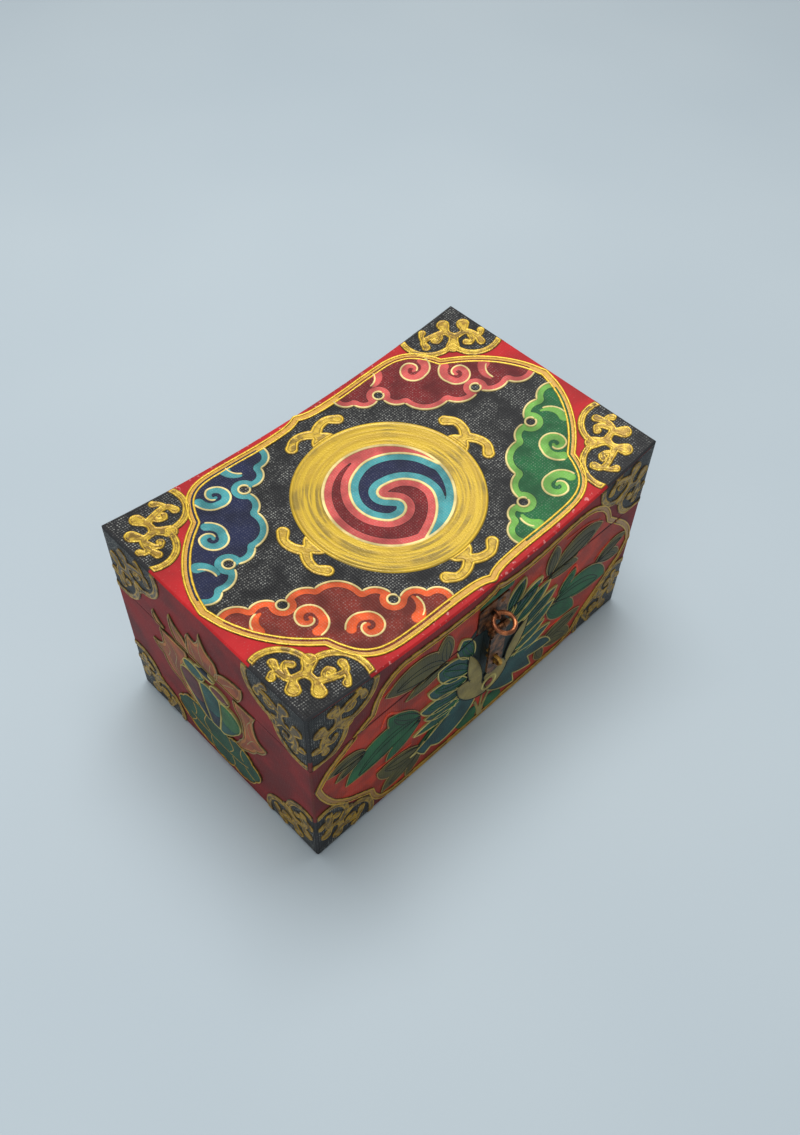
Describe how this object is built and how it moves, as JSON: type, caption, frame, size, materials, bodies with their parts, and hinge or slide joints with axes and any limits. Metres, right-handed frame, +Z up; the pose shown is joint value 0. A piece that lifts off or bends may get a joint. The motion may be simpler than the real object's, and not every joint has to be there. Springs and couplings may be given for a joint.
{
  "type": "keepsake box",
  "caption": "Painted wooden keepsake box with a dished hinged lid, back hinges and a front hasp with strap, staple and pull ring.",
  "frame": {"origin": "middle of the underside that the box stands on", "axes": "+X along the length, -Y towards the front with the hasp, +Z up"},
  "size_m": [0.18, 0.1256, 0.1029],
  "materials": {
    "lid_paint": "red paint on wood, worn at the edges",
    "side_paint": "maroon paint on wood",
    "bare_wood": "bare wood",
    "aged_bronze": "dark bronze, rubbed",
    "copper_wire": "copper wire, rubbed",
    "brass_wire": "brass wire, dulled"
  },
  "bodies": {
    "base": {"base_front_board": "side_paint", "base_back_board": "side_paint", "base_left_end": "side_paint", "base_right_end": "side_paint", "base_bottom_panel": "bare_wood", "left_hinge_base_leaf": "aged_bronze", "right_hinge_base_leaf": "aged_bronze", "left_hinge_pin": "aged_bronze", "right_hinge_pin": "aged_bronze", "hinge_base_nails": "aged_bronze", "hasp_staple": "brass_wire"},
    "lid": {"lid_top_panel": "lid_paint", "lid_front_rail": "side_paint", "lid_back_rail": "side_paint", "lid_left_rail": "side_paint", "lid_right_rail": "side_paint", "left_hinge_lid_leaf": "aged_bronze", "right_hinge_lid_leaf": "aged_bronze", "hinge_lid_nails": "aged_bronze", "hasp_lid_plate": "aged_bronze", "hasp_plate_nails": "aged_bronze", "hasp_hinge_pin": "copper_wire", "pull_ring_eye": "aged_bronze"},
    "strap": {"hasp_strap": "aged_bronze"},
    "ring": {"pull_ring": "copper_wire"}
  },
  "joints": [
    {"name": "lid_hinge", "type": "hinge", "parent": "base", "child": "lid", "pos_m": [0, 0.0575, 0.0682], "axis": [-1, 0, 0], "range_deg": [0, 180]},
    {"name": "hasp_swing", "type": "hinge", "parent": "lid", "child": "strap", "pos_m": [0, -0.0595, 0.0697], "axis": [-1, 0, 0], "range_deg": [0, 105]},
    {"name": "ring_swing", "type": "hinge", "parent": "lid", "child": "ring", "pos_m": [0, -0.0575, 0.0762], "axis": [-1, 0, 0], "range_deg": [-5, 95]}
  ]
}
